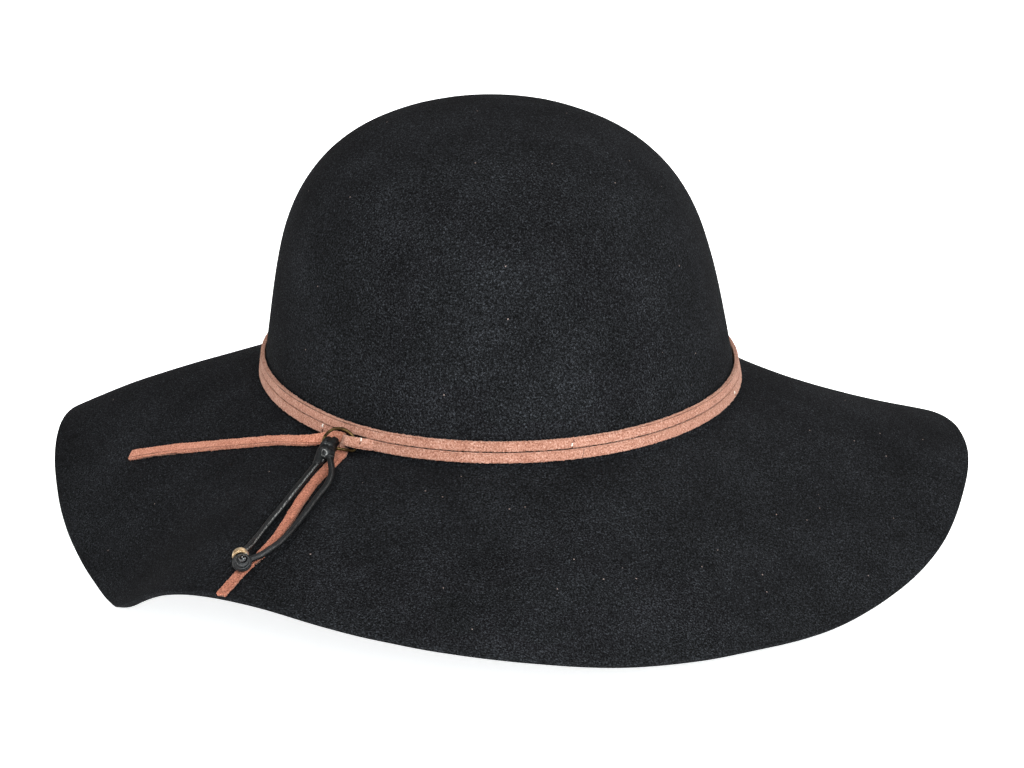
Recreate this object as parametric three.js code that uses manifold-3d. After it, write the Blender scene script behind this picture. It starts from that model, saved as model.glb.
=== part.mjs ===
// Floppy felt hat with a band of two suede laces, a small D-ring and a knotted cord.
// Millimetres, +Z up. The front of the hat faces -Y and +X is to the right of someone facing it.
// The hat stands on the dips of its own brim, and the origin is under the middle of the felt's box.
import * as THREE from "three";
import Module from "manifold-3d";
import { mergeVertices } from "three/addons/utils/BufferGeometryUtils.js";

const wasm = await Module();
wasm.setup();

// Felt: one piece, blocked into a crown and a brim
const FELT_THICKNESS = 2.2;
const CROWN_HALF_WIDTH = 87.2; // outside, at the foot of the crown
const CROWN_HALF_DEPTH = 99.9;
const CROWN_HEIGHT = 102.3; // from the foot of the crown to its top
const CROWN_TAPER = 0.18; // share of the width lost by a straight wall at the full height
const CROWN_SQUARENESS = 5.2; // exponent of the shoulder: 2 is a ball, more is boxier
const CROWN_LEAN = -4.1; // how far the top stands to the side of the foot
const CORNER_RADIUS = 0.9; // hollow corner between crown and brim
const FOOT_RISE = 2.6; // how far the foot of the crown climbs at the hat's -X side
const BRIM_WIDTH = 89; // along the felt, past the hollow corner, where its reach is 1
const REST_FLAT = 1.6; // how much of the lowest edge is pressed flat where it rests

// Suede laces
const LACE_WIDTH = 3.7;
const LACE_THICKNESS = 1.5;
const TAIL_WIDTH = 4; // the free ends lie relaxed, a little wider and thinner
const TAIL_THICKNESS = 1.3;
const GAP = 0.3; // clearance between a piece and what it lies against
const BAND_FOOT = 1.4; // height of the band's lower edge over the foot of the crown
const LACE_SPACING = 0.2; // between the two laces
const BAND_OPENING_START = -46; // degrees: the lower lace stops either side of the ring
const BAND_OPENING_END = -30;

// D-ring of brass wire
const RING_WIRE = 1.2; // diameter
const RING_RADIUS = 6; // of the half circle, at the middle of the wire
const RING_LEG = 1.2; // straight length between the bar and the half circle
const RING_AZIMUTH = -36.8; // degrees
const RING_OUT = 6; // from the crown to the straight bar
const RING_HEIGHT = 1.3; // of the straight bar, over the foot of the crown
const RING_LEAN = 12; // degrees that its top leans towards the crown
const RING_ROLL = -2; // degrees that the bar's right end is turned up
const RING_YAW = 24; // degrees that the bar's right end is turned in towards the crown

// Black cord, its hitch on the ring, its bead and its end knot
const CORD_DIAMETER = 2.3;
const HITCH_DIAMETER = 5.2;
const BALL_DIAMETER = 6.8; // of the bead and the knot together
const BEAD_SHARE = 0.55; // of the ball's length that is bead

// How the brim falls, round the hat. Azimuth is in degrees from the front, positive to +X. Root and
// edge are the felt's slopes below level, in degrees, where it leaves the crown and at its edge.
// Reach is the brim's own width there as a share of BRIM_WIDTH, and rise the share of FOOT_RISE
// that the foot of the crown climbs.
const BRIM_FALL = [
  { azimuth: -180, root: 28, edge: 46, reach: 1, rise: 0 },
  { azimuth: -160, root: 30, edge: 50, reach: 1, rise: 0 },
  { azimuth: -140, root: 32, edge: 49, reach: 1, rise: 0.4 },
  { azimuth: -120, root: 20, edge: 32, reach: 1, rise: 0.8 },
  { azimuth: -105, root: 12, edge: 28, reach: 1, rise: 1 },
  { azimuth: -90, root: 16, edge: 41, reach: 1, rise: 1 },
  { azimuth: -80, root: 22, edge: 47, reach: 1.01, rise: 1 },
  { azimuth: -70, root: 27, edge: 51, reach: 1.02, rise: 0.9 },
  { azimuth: -60, root: 27, edge: 54, reach: 1.03, rise: 0.7 },
  { azimuth: -50, root: 21, edge: 43, reach: 1, rise: 0.5 },
  { azimuth: -40, root: 13, edge: 27, reach: 1, rise: 0.2 },
  { azimuth: -28, root: 11, edge: 20, reach: 1, rise: 0 },
  { azimuth: -15, root: 14, edge: 25, reach: 1, rise: 0 },
  { azimuth: 0, root: 18, edge: 31, reach: 1, rise: 0 },
  { azimuth: 15, root: 23, edge: 36, reach: 1, rise: 0 },
  { azimuth: 30, root: 25, edge: 38, reach: 1, rise: 0 },
  { azimuth: 45, root: 27, edge: 41, reach: 1, rise: 0 },
  { azimuth: 60, root: 26, edge: 38, reach: 1.01, rise: 0 },
  { azimuth: 70, root: 22, edge: 34, reach: 1.02, rise: 0 },
  { azimuth: 80, root: 18, edge: 28, reach: 1.01, rise: 0 },
  { azimuth: 90, root: 16, edge: 21, reach: 1.02, rise: 0 },
  { azimuth: 105, root: 23, edge: 14, reach: 1.02, rise: 0 },
  { azimuth: 120, root: 34, edge: 18, reach: 1, rise: 0 },
  { azimuth: 140, root: 36, edge: 42, reach: 1, rise: 0 },
  { azimuth: 160, root: 32, edge: 50, reach: 1, rise: 0 },
];

// Free ends: points on the middle of each lace from the ring outwards, in millimetres from the middle
// of the crown's foot, and how far its face is tipped from flat towards upright, in degrees.
const TAIL_LEFT = [
  { x: -54.3, y: -79.6, z: 3.2, tip: 86 },
  { x: -57.2, y: -77.1, z: 3.2, tip: 86 },
  { x: -60.6, y: -75.1, z: 2.2, tip: 76 },
  { x: -63.9, y: -73.9, z: 1.2, tip: 56 },
  { x: -67.2, y: -72.7, z: 0.4, tip: 40 },
  { x: -71.4, y: -70.3, z: -0.5, tip: 30 },
  { x: -77.7, y: -65.1, z: -2.2, tip: 28 },
  { x: -87.0, y: -58.2, z: -5.2, tip: 31 },
  { x: -96.4, y: -50.4, z: -8.7, tip: 31 },
  { x: -107.9, y: -40.5, z: -13.1, tip: 32 },
  { x: -117.5, y: -32.9, z: -16.6, tip: 33 },
  { x: -127.3, y: -25.6, z: -20.4, tip: 33 },
  { x: -134.7, y: -20.1, z: -23.5, tip: 33 },
];
const TAIL_DOWN = [
  { x: -45.0, y: -87.0, z: 3.2, tip: 86 },
  { x: -47.6, y: -87.5, z: 3.3, tip: 86 },
  { x: -50.8, y: -87.7, z: 3.7, tip: 84 },
  { x: -53.2, y: -86.8, z: 4.5, tip: 78 },
  { x: -53.8, y: -84.5, z: 4.4, tip: 66 },
  { x: -54.1, y: -82.8, z: 2.6, tip: 40 },
  { x: -54.6, y: -82.8, z: 0.4, tip: 14 },
  { x: -55.3, y: -84.9, z: -0.7, tip: 0 },
  { x: -56.8, y: -87.6, z: -1.2, tip: -1 },
  { x: -58.5, y: -90.8, z: -2.1, tip: -3 },
  { x: -60.6, y: -94.9, z: -3.1, tip: -3 },
  { x: -63.8, y: -101.4, z: -4.8, tip: -3 },
  { x: -67.3, y: -109.5, z: -7.1, tip: -3 },
  { x: -71.5, y: -122.1, z: -10.5, tip: -3 },
  { x: -75.6, y: -133.4, z: -13.8, tip: -4 },
  { x: -81.0, y: -141.8, z: -17.0, tip: -5 },
  { x: -86.7, y: -148.9, z: -20.1, tip: -5 },
  { x: -90.6, y: -155.3, z: -22.7, tip: -5 },
  { x: -92.9, y: -159.2, z: -24.2, tip: -5 },
];

// The cord's two strands, from the hitch to the bead, in the same measure.
const CORD_LEFT = [
  { x: -61.6, y: -91.3, z: -0.4 },
  { x: -63.7, y: -94.1, z: -1.3 },
  { x: -66.3, y: -99.6, z: -2.9 },
  { x: -70.1, y: -108.0, z: -5.3 },
  { x: -74.5, y: -115.8, z: -8.8 },
  { x: -78.6, y: -123.8, z: -11.6 },
  { x: -82.4, y: -133.9, z: -13.7 },
  { x: -84.1, y: -140.0, z: -13.9 },
];
const CORD_RIGHT = [
  { x: -59.2, y: -92.2, z: 1.2 },
  { x: -58.4, y: -96.4, z: -0.1 },
  { x: -58.1, y: -102.4, z: -1.9 },
  { x: -59.3, y: -107.5, z: -4.0 },
  { x: -61.4, y: -111.8, z: -5.6 },
  { x: -64.0, y: -117.8, z: -7.4 },
  { x: -66.7, y: -124.0, z: -9.3 },
  { x: -69.3, y: -129.9, z: -10.9 },
  { x: -71.3, y: -135.0, z: -11.7 },
  { x: -73.9, y: -139.5, z: -12.7 },
  { x: -77.3, y: -143.7, z: -13.9 },
  { x: -80.0, y: -146.1, z: -14.9 },
  { x: -81.9, y: -147.5, z: -15.3 },
];

// The hitch lies from the ring to the strands, and the bead and the knot share one axis.
const HITCH_START = { x: -59.4, y: -83.2, z: 2.2 };
const HITCH_END = { x: -60.6, y: -91, z: 1.4 };
const BALL_MIDDLE = { x: -86.8, y: -148.4, z: -15.1 };
const BALL_TIP = { x: -86.8, y: -150.6, z: -17.3 };

// The hitch's outline. Radius and past are shares of half its diameter, and along of its length; a
// row lies the way along and then past it.
const HITCH_OUTLINE = [
  { radius: 0, along: 0, past: -1 },
  { radius: 0.7, along: 0, past: -0.7 },
  { radius: 1, along: 0, past: 0 },
  { radius: 0.9, along: 0.6, past: 0 },
  { radius: 0.6, along: 1, past: 0 },
  { radius: 0, along: 1, past: 0.3 },
];

// How finely the surfaces are cut into flat faces
const AZIMUTH_STEPS = 72;
const CROWN_STEPS = 11;
const CORNER_STEPS = 3;
const BRIM_STEPS = 8;
const CROWN_STEP_EASE = 0.6; // below 1, more rings near the shoulder
const RING_STEPS = 24;
const RING_ARC_SHARE = 0.6; // share of the ring's steps that its half circle takes
const ROUND_SIDES = 8;
const TAIL_STEPS = 26;
const CORD_STEPS = 16;

const FELT = new THREE.MeshStandardMaterial({ color: 0x22262a, roughness: 0.95, metalness: 0 });
const SUEDE = new THREE.MeshStandardMaterial({ color: 0xd98f72, roughness: 0.9, metalness: 0 });
const BRASS = new THREE.MeshStandardMaterial({ color: 0x8d7442, roughness: 0.4, metalness: 1 });
const WAXED_CORD = new THREE.MeshStandardMaterial({ color: 0x1a1b1d, roughness: 0.5, metalness: 0 });

const radians = THREE.MathUtils.degToRad;
const hat = new THREE.Group();
hat.name = "floppy_hat";

// Adds one closed mesh to the hat.
function addPiece(name, geometry, material) {
  const mesh = new THREE.Mesh(geometry, material.clone());
  mesh.name = name;
  hat.add(mesh);
  return mesh;
}

// A geometry from a list of points and a list of triangles.
function meshOf(points, faces) {
  const geometry = new THREE.BufferGeometry();
  const numbers = points.flatMap((point) => point.toArray());
  geometry.setAttribute("position", new THREE.Float32BufferAttribute(numbers, 3));
  geometry.setIndex(faces.flat());
  return geometry;
}

// One closed geometry as a solid that can be cut.
function solidOf(geometry) {
  const bare = geometry.clone();
  for (const name of ["normal", "uv"]) bare.deleteAttribute(name);
  const merged = mergeVertices(bare, 1e-4);
  return new wasm.Manifold(
    new wasm.Mesh({
      numProp: 3,
      vertProperties: merged.attributes.position.array,
      triVerts: new Uint32Array(merged.index.array),
    }),
  );
}

// The first geometry with the second cut away.
function cutAway(geometry, tool) {
  const mesh = solidOf(geometry).subtract(solidOf(tool)).getMesh();
  const made = new THREE.BufferGeometry();
  made.setAttribute("position", new THREE.BufferAttribute(mesh.vertProperties, 3));
  made.setIndex(new THREE.BufferAttribute(mesh.triVerts, 1));
  return made;
}

// A column of the fall table at any azimuth, by a closed cubic curve through its rows.
function fallAt(azimuth, column) {
  const rows = BRIM_FALL;
  const count = rows.length;
  const turnTo = (degrees) => THREE.MathUtils.euclideanModulo(degrees - rows[0].azimuth, 360);
  const turn = turnTo(THREE.MathUtils.radToDeg(azimuth));
  let i = count - 1;
  while (turnTo(rows[i].azimuth) > turn) i -= 1;
  const row = (k) => rows[(k + count) % count];
  const place = (k) => row(k).azimuth + 360 * Math.floor(k / count);
  const slope = (k) => (row(k + 1)[column] - row(k - 1)[column]) / (place(k + 1) - place(k - 1));
  const span = place(i + 1) - place(i);
  const s = (turn - turnTo(rows[i].azimuth)) / span;
  const fromHere = (1 + 2 * s) * (1 - s) ** 2 * row(i)[column] + s * (1 - s) ** 2 * span * slope(i);
  const toNext = s * s * (3 - 2 * s) * row(i + 1)[column] + s * s * (s - 1) * span * slope(i + 1);
  return fromHere + toNext;
}

// How far the foot of the crown lies above its level part.
function footHeight(azimuth) {
  return FOOT_RISE * fallAt(azimuth, "rise");
}

// A point of the crown's outside: azimuth in radians, height over the level part of its foot.
function crownPoint(azimuth, height) {
  const share = THREE.MathUtils.clamp(height / CROWN_HEIGHT, 0, 1);
  const width = Math.sqrt(1 - share ** CROWN_SQUARENESS) * (1 - CROWN_TAPER * share);
  return new THREE.Vector3(
    CROWN_HALF_WIDTH * width * Math.sin(azimuth) + CROWN_LEAN * share,
    -CROWN_HALF_DEPTH * width * Math.cos(azimuth),
    height,
  );
}

// The level direction that points straight out of the crown's foot.
function outward(azimuth) {
  const x = Math.sin(azimuth) / CROWN_HALF_WIDTH;
  const y = -Math.cos(azimuth) / CROWN_HALF_DEPTH;
  return new THREE.Vector3(x, y, 0).normalize();
}

// The length of the hollow corner, which turns the felt from upright to the brim's first slope.
function cornerLength(azimuth) {
  return CORNER_RADIUS * radians(90 - fallAt(azimuth, "root"));
}

// The brim's own width along the felt, past the hollow corner.
function brimWidth(azimuth) {
  return BRIM_WIDTH * fallAt(azimuth, "reach");
}

// A point of the brim's top, a given way along the felt from the crown's foot.
function brimPoint(azimuth, along) {
  const root = radians(fallAt(azimuth, "root"));
  const edge = radians(fallAt(azimuth, "edge"));
  const corner = Math.min(along, cornerLength(azimuth));
  const turned = Math.PI / 2 - corner / CORNER_RADIUS;
  let out = CORNER_RADIUS * (1 - Math.sin(turned));
  let down = CORNER_RADIUS * Math.cos(turned);
  const bend = (edge - root) / brimWidth(azimuth);
  const slope = root + bend * (along - corner);
  out += (Math.sin(slope) - Math.sin(root)) / bend;
  down += (Math.cos(root) - Math.cos(slope)) / bend;
  const point = crownPoint(azimuth, footHeight(azimuth));
  point.addScaledVector(outward(azimuth), out);
  point.z -= down;
  return point;
}

// A point of the felt's outside on one of the rings from the top of the crown to the brim's edge.
function feltPoint(ring, azimuth) {
  if (ring <= CROWN_STEPS) {
    const foot = footHeight(azimuth);
    const turn = (Math.PI / 2) * (ring / CROWN_STEPS);
    return crownPoint(azimuth, foot + (CROWN_HEIGHT - foot) * Math.cos(turn) ** CROWN_STEP_EASE);
  }
  const corner = cornerLength(azimuth);
  const step = ring - CROWN_STEPS;
  if (step <= CORNER_STEPS) return brimPoint(azimuth, (corner * step) / CORNER_STEPS);
  return brimPoint(azimuth, corner + (brimWidth(azimuth) * (step - CORNER_STEPS)) / BRIM_STEPS);
}

// The whole felt: the outside, the inside a thickness below it, and the cut edge between them.
function feltBody() {
  const rings = CROWN_STEPS + CORNER_STEPS + BRIM_STEPS;
  const last = rings - 1;
  const around = [...Array(AZIMUTH_STEPS).keys()];
  const angle = (j) => (2 * Math.PI * j) / AZIMUTH_STEPS;
  const outside = [...Array(rings).keys()].map((i) => around.map((j) => feltPoint(i + 1, angle(j))));
  const top = crownPoint(0, CROWN_HEIGHT);
  const at = (i, j) => (i < 0 ? top : outside[Math.min(i, last)][(j + AZIMUTH_STEPS) % AZIMUTH_STEPS]);
  const inside = outside.map((ring, i) =>
    ring.map((point, j) => {
      const across = at(i, j + 1).clone().sub(at(i, j - 1));
      const down = at(i + 1, j).clone().sub(at(i - 1, j));
      return point.clone().addScaledVector(down.cross(across).normalize(), -FELT_THICKNESS);
    }),
  );
  const points = [...outside.flat(), ...inside.flat()];
  const topIndex = points.push(top) - 1;
  const innerTopIndex = points.push(top.clone().setZ(top.z - FELT_THICKNESS)) - 1;
  const outer = (i, j) => i * AZIMUTH_STEPS + (j % AZIMUTH_STEPS);
  const inner = (i, j) => rings * AZIMUTH_STEPS + outer(i, j);
  const faces = [];
  for (const j of around) {
    faces.push([topIndex, outer(0, j), outer(0, j + 1)]);
    faces.push([innerTopIndex, inner(0, j + 1), inner(0, j)]);
    for (let i = 0; i < last; i += 1) {
      faces.push([outer(i, j), outer(i + 1, j), outer(i + 1, j + 1)]);
      faces.push([outer(i, j), outer(i + 1, j + 1), outer(i, j + 1)]);
      faces.push([inner(i, j), inner(i + 1, j + 1), inner(i + 1, j)]);
      faces.push([inner(i, j), inner(i, j + 1), inner(i + 1, j + 1)]);
    }
    faces.push([outer(last, j), inner(last, j), inner(last, j + 1)]);
    faces.push([outer(last, j), inner(last, j + 1), outer(last, j + 1)]);
  }
  return meshOf(points, faces);
}

// A flat strap through rows of { centre, face, across }: face points out of its front, across
// along its width.
function strap(rows, width, thickness, closed) {
  const points = [];
  for (const { centre, face, across } of rows) {
    for (const [side, front] of [[-1, -1], [1, -1], [1, 1], [-1, 1]]) {
      const point = centre.clone().addScaledVector(across, (side * width) / 2);
      points.push(point.addScaledVector(face, (front * thickness) / 2));
    }
  }
  const faces = [];
  const spans = closed ? rows.length : rows.length - 1;
  for (let i = 0; i < spans; i += 1) {
    const here = 4 * i;
    const next = 4 * ((i + 1) % rows.length);
    for (let k = 0; k < 4; k += 1) {
      const m = (k + 1) % 4;
      faces.push([here + k, next + m, next + k]);
      faces.push([here + k, here + m, next + m]);
    }
  }
  if (!closed) {
    const end = 4 * (rows.length - 1);
    faces.push([0, 2, 1], [0, 3, 2], [end, end + 1, end + 2], [end, end + 2, end + 3]);
  }
  return meshOf(points, faces);
}

// Rows for a lace that lies round the crown at a height over its foot.
function laceRows(height, start, end, steps) {
  return [...Array(steps).keys()].map((i) => {
    const azimuth = radians(start + ((end - start) * i) / (steps - 1));
    const level = footHeight(azimuth) + height;
    const foot = crownPoint(azimuth, level);
    const across = crownPoint(azimuth, level + LACE_WIDTH / 2).sub(foot).normalize();
    const face = outward(azimuth);
    face.addScaledVector(across, -face.dot(across)).normalize();
    return { centre: foot.addScaledVector(face, GAP + LACE_THICKNESS / 2), face, across };
  });
}

// Rows for a free end, along a smooth curve through its points.
function tailRows(table) {
  const curve = new THREE.CatmullRomCurve3(table.map((row) => new THREE.Vector3(row.x, row.y, row.z)));
  const up = new THREE.Vector3(0, 0, 1);
  return [...Array(TAIL_STEPS + 1).keys()].map((i) => {
    const t = i / TAIL_STEPS;
    const place = t * (table.length - 1);
    const k = Math.min(Math.floor(place), table.length - 2);
    const tip = radians(THREE.MathUtils.lerp(table[k].tip, table[k + 1].tip, place - k));
    const along = curve.getTangent(t);
    const side = along.clone().cross(up).normalize();
    if (side.y > 0) side.negate();
    const face = up.clone().multiplyScalar(Math.cos(tip)).addScaledVector(side, Math.sin(tip));
    face.addScaledVector(along, -face.dot(along)).normalize();
    return { centre: curve.getPoint(t), face, across: face.clone().cross(along) };
  });
}

// A round rod along a smooth open curve through points.
function rod(table, diameter, steps) {
  const path = new THREE.CatmullRomCurve3(table.map((row) => new THREE.Vector3(row.x, row.y, row.z)));
  const section = new THREE.Shape().absarc(0, 0, diameter / 2, 0, 2 * Math.PI);
  const options = { steps, extrudePath: path, curveSegments: ROUND_SIDES / 2, bevelEnabled: false };
  return new THREE.ExtrudeGeometry(section, options);
}

// The D-ring's own directions: along its bar, up its middle, and the middle of its bar.
function ringFrame() {
  const azimuth = radians(RING_AZIMUTH);
  const out = outward(azimuth);
  const up = new THREE.Vector3(0, 0, 1);
  const level = up.clone().cross(out).applyAxisAngle(up, radians(RING_YAW));
  const away = level.clone().cross(up);
  const bar = level.clone().applyAxisAngle(away, radians(RING_ROLL));
  const rise = away.clone().cross(bar).applyAxisAngle(bar, -radians(RING_LEAN));
  const centre = crownPoint(azimuth, 0).addScaledVector(out, RING_OUT);
  centre.z += RING_HEIGHT;
  return { centre, bar, rise };
}

// The ring's wire as a closed tube: a half circle and the straight bar under it.
function dRing(diameter) {
  const { centre, bar, rise } = ringFrame();
  const arcSteps = Math.round(RING_STEPS * RING_ARC_SHARE);
  const barSteps = RING_STEPS - arcSteps;
  const flat = [];
  for (let i = 0; i <= arcSteps; i += 1) {
    const turn = (Math.PI * i) / arcSteps;
    flat.push([RING_RADIUS * Math.cos(turn), RING_LEG + RING_RADIUS * Math.sin(turn)]);
  }
  for (let i = 0; i < barSteps; i += 1) flat.push([RING_RADIUS * ((2 * i + 1) / barSteps - 1), 0]);
  const points = flat.map(([x, y]) => centre.clone().addScaledVector(bar, x).addScaledVector(rise, y));
  const path = new THREE.CatmullRomCurve3(points, true, "centripetal");
  return new THREE.TubeGeometry(path, 2 * RING_STEPS, diameter / 2, ROUND_SIDES, true);
}

// A round body on a line between two places: a lathed profile of [radius, way along] pairs.
function turned(profile, from, towards) {
  const outline = profile.map(([radius, way]) => new THREE.Vector2(radius, way));
  const axis = towards.clone().sub(from).normalize();
  const turn = new THREE.Quaternion().setFromUnitVectors(new THREE.Vector3(0, 1, 0), axis);
  const geometry = new THREE.LatheGeometry(outline, ROUND_SIDES * 2);
  return geometry.applyQuaternion(turn).translate(from.x, from.y, from.z);
}

const vector = ({ x, y, z }) => new THREE.Vector3(x, y, z);

// The part of a ball, as a profile for turned, between two ways along its axis from its middle.
function ballProfile(radius, start, end) {
  const steps = ROUND_SIDES / 2;
  const rounds = [...Array(steps + 1).keys()].map((i) => {
    const way = start + ((end - start) * i) / steps;
    return [Math.sqrt(Math.max(radius ** 2 - way ** 2, 0)), way];
  });
  const ends = [[0, start], [0, end]];
  return [ends[0], ...rounds.filter(([size]) => size > 0), ends[1]];
}

// Felt, cut level where it rests
const rawFelt = feltBody();
rawFelt.computeBoundingBox();
const floor = rawFelt.boundingBox.min.z + REST_FLAT;
const groundSide = 10 * CROWN_HALF_DEPTH;
const groundDepth = 10 * REST_FLAT;
const ground = new THREE.BoxGeometry(groundSide, groundSide, groundDepth);
ground.translate(0, 0, floor - groundDepth / 2);
const felt = addPiece("felt_body", cutAway(rawFelt, ground), FELT);

// Band
const lowerMiddle = BAND_FOOT + LACE_WIDTH / 2;
const upperMiddle = lowerMiddle + LACE_WIDTH + LACE_SPACING;
const closedRows = laceRows(upperMiddle, 0, 360, AZIMUTH_STEPS + 1).slice(0, -1);
addPiece("band_upper_lace", strap(closedRows, LACE_WIDTH, LACE_THICKNESS, true), SUEDE);
const openRows = laceRows(lowerMiddle, BAND_OPENING_END, BAND_OPENING_START + 360, AZIMUTH_STEPS - 1);
addPiece("band_lower_lace", strap(openRows, LACE_WIDTH, LACE_THICKNESS, false), SUEDE);
addPiece("lace_tail_left", strap(tailRows(TAIL_LEFT), TAIL_WIDTH, TAIL_THICKNESS, false), SUEDE);
addPiece("lace_tail_down", strap(tailRows(TAIL_DOWN), TAIL_WIDTH, TAIL_THICKNESS, false), SUEDE);

// Ring, cord, bead and knot
addPiece("d_ring", dRing(RING_WIRE), BRASS);
const hitchStart = vector(HITCH_START);
const hitchEnd = vector(HITCH_END);
const hitchRadius = HITCH_DIAMETER / 2;
const hitchLength = hitchStart.distanceTo(hitchEnd);
const hitchProfile = HITCH_OUTLINE.map(({ radius, along, past }) => [
  radius * hitchRadius,
  along * hitchLength + past * hitchRadius,
]);
const hitch = turned(hitchProfile, hitchStart, hitchEnd);
addPiece("cord_hitch", cutAway(hitch, dRing(RING_WIRE + 2 * GAP)), WAXED_CORD);
addPiece("cord_left", rod(CORD_LEFT, CORD_DIAMETER, CORD_STEPS), WAXED_CORD);
addPiece("cord_right", rod(CORD_RIGHT, CORD_DIAMETER, CORD_STEPS), WAXED_CORD);
const ballRadius = BALL_DIAMETER / 2;
const beadEnd = BALL_DIAMETER * (BEAD_SHARE - 0.5);
const ballMiddle = vector(BALL_MIDDLE);
const ballTip = vector(BALL_TIP);
const beadProfile = ballProfile(ballRadius, -ballRadius, beadEnd);
addPiece("bead", turned(beadProfile, ballMiddle, ballTip), BRASS);
const knotProfile = ballProfile(ballRadius, beadEnd + GAP, ballRadius);
addPiece("end_knot", turned(knotProfile, ballMiddle, ballTip), WAXED_CORD);

// The hat stands at the height of its lowest edge, with the middle of the felt's box at the origin.
felt.geometry.computeBoundingBox();
const middle = felt.geometry.boundingBox.getCenter(new THREE.Vector3());
hat.position.set(-middle.x, -middle.y, -floor);

export default hat;
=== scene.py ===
# %% [markdown]
# # A floppy felt hat with a suede band
# This notebook dresses a wide-brimmed hat of black wool felt. Its solids come from a fixed frame in
# metres, and each piece that is modelled here lies where its solid lies. Two suede laces go round
# the crown as a band, their free ends pass a small brass ring, and a knotted cord hangs from it.

# %% Load the frame
import math

import bmesh
import bpy
from mathutils import Matrix, Vector


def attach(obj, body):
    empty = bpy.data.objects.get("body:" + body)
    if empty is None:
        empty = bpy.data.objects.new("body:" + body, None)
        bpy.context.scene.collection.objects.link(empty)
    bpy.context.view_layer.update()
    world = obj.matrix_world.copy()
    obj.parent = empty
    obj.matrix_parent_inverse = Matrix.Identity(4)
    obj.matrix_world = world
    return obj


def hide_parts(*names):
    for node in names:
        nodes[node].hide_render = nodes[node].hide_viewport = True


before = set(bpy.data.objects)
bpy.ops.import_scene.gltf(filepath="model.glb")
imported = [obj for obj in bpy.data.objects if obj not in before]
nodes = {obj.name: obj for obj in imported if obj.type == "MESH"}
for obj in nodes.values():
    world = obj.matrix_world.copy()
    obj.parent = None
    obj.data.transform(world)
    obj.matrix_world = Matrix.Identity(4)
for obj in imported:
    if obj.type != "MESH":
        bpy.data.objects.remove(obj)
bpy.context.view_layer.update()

# %% [markdown]
# ## Measures
# The frame is in metres, but a hat is easier to think of in millimetres. One function takes a point
# measured from the middle of the crown's foot, in millimetres, to its place in the frame.

# %% Millimetres and the crown's foot
MM = 0.001
CROWN_FOOT = Vector((-3.1659, 5.2295, 59.0271))


def on_hat(x, y, z):
    return (Vector((x, y, z)) + CROWN_FOOT) * MM


print("The crown's foot lies at", [round(c, 4) for c in on_hat(0, 0, 0)])

# %% [markdown]
# ## The camera
# The hat is seen from the front, 18 degrees above level, from 1.5 m away with a long lens. A long
# lens keeps the crown and the brim in their true proportions. A small shift of the lens moves the
# picture sideways without turning the camera, so verticals stay upright.

# %% Camera
CAMERA_DISTANCE = 1.5
CAMERA_ELEVATION = math.radians(18)
FOCAL_PIXELS = 4080
IMAGE_WIDTH, IMAGE_HEIGHT = 1024, 768
AIM = on_hat(0, 0, 2.7)
AIM_PIXEL = (500.2, 370.0)

lens = bpy.data.cameras.new("studio_camera")
lens.sensor_width = 36
lens.lens = lens.sensor_width * FOCAL_PIXELS / IMAGE_WIDTH
lens.shift_x = (IMAGE_WIDTH / 2 - AIM_PIXEL[0]) / IMAGE_WIDTH
lens.shift_y = (AIM_PIXEL[1] - IMAGE_HEIGHT / 2) / IMAGE_WIDTH
camera = bpy.data.objects.new("studio_camera", lens)
away = Vector((0, -math.cos(CAMERA_ELEVATION), math.sin(CAMERA_ELEVATION)))
camera.location = AIM + CAMERA_DISTANCE * away
camera.rotation_euler = (math.pi / 2 - CAMERA_ELEVATION, 0, 0)
bpy.context.collection.objects.link(camera)
bpy.context.scene.camera = camera
print("Lens", round(lens.lens, 1), "mm")

# %% [markdown]
# ## Small helpers for working by hand
# An operator acts on whatever is selected, so every step first selects one object, or the faces
# and edges of it that a plain test accepts.

# %% Selecting and finishing
def work_on(piece):
    bpy.ops.object.select_all(action="DESELECT")
    piece.select_set(True)
    bpy.context.view_layer.objects.active = piece


def pick(piece, kind, wanted):
    """In edit mode, selects the vertices, edges or faces that a test accepts, and nothing else."""
    bpy.ops.mesh.select_mode(type=kind)
    bpy.ops.mesh.select_all(action="DESELECT")
    mesh = bmesh.from_edit_mesh(piece.data)
    things = {"VERT": mesh.verts, "EDGE": mesh.edges, "FACE": mesh.faces}[kind]
    for thing in things:
        if wanted(thing):
            thing.select_set(True)
    mesh.select_flush_mode()
    bmesh.update_edit_mesh(piece.data)


def apply_modifier(piece, kind, **settings):
    """Adds one modifier with its settings and applies it at once."""
    work_on(piece)
    modifier = piece.modifiers.new(kind.lower(), kind)
    for setting, value in settings.items():
        setattr(modifier, setting, value)
    bpy.ops.object.modifier_apply(modifier=modifier.name)


def apply_place(piece):
    """Puts the object at the origin, unturned and unscaled, with its place in its mesh."""
    work_on(piece)
    bpy.ops.object.transform_apply(location=True, rotation=True, scale=True)


def smooth(piece, degrees=40):
    work_on(piece)
    bpy.ops.object.shade_smooth_by_angle(angle=math.radians(degrees))


def solid_copy(name, node):
    """A copy of a CAD node with its loose triangles joined into one skin of mostly quads."""
    piece = nodes[node].copy()
    piece.data = nodes[node].data.copy()
    piece.name = name
    bpy.context.collection.objects.link(piece)
    piece.data.materials.clear()
    work_on(piece)
    bpy.ops.object.mode_set(mode="EDIT")
    bpy.ops.mesh.select_all(action="SELECT")
    bpy.ops.mesh.remove_doubles(threshold=0.01 * MM)
    bpy.ops.mesh.tris_convert_to_quads()
    bpy.ops.object.mode_set(mode="OBJECT")
    print(name, len(piece.data.polygons), "faces from the solid")
    return piece


def clouds(name, size, depth=2):
    """A cloudy bump pattern for the Displace modifier, with lumps of about a size in metres."""
    texture = bpy.data.textures.new(name, "CLOUDS")
    texture.noise_scale = size
    texture.noise_depth = depth
    return texture


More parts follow.
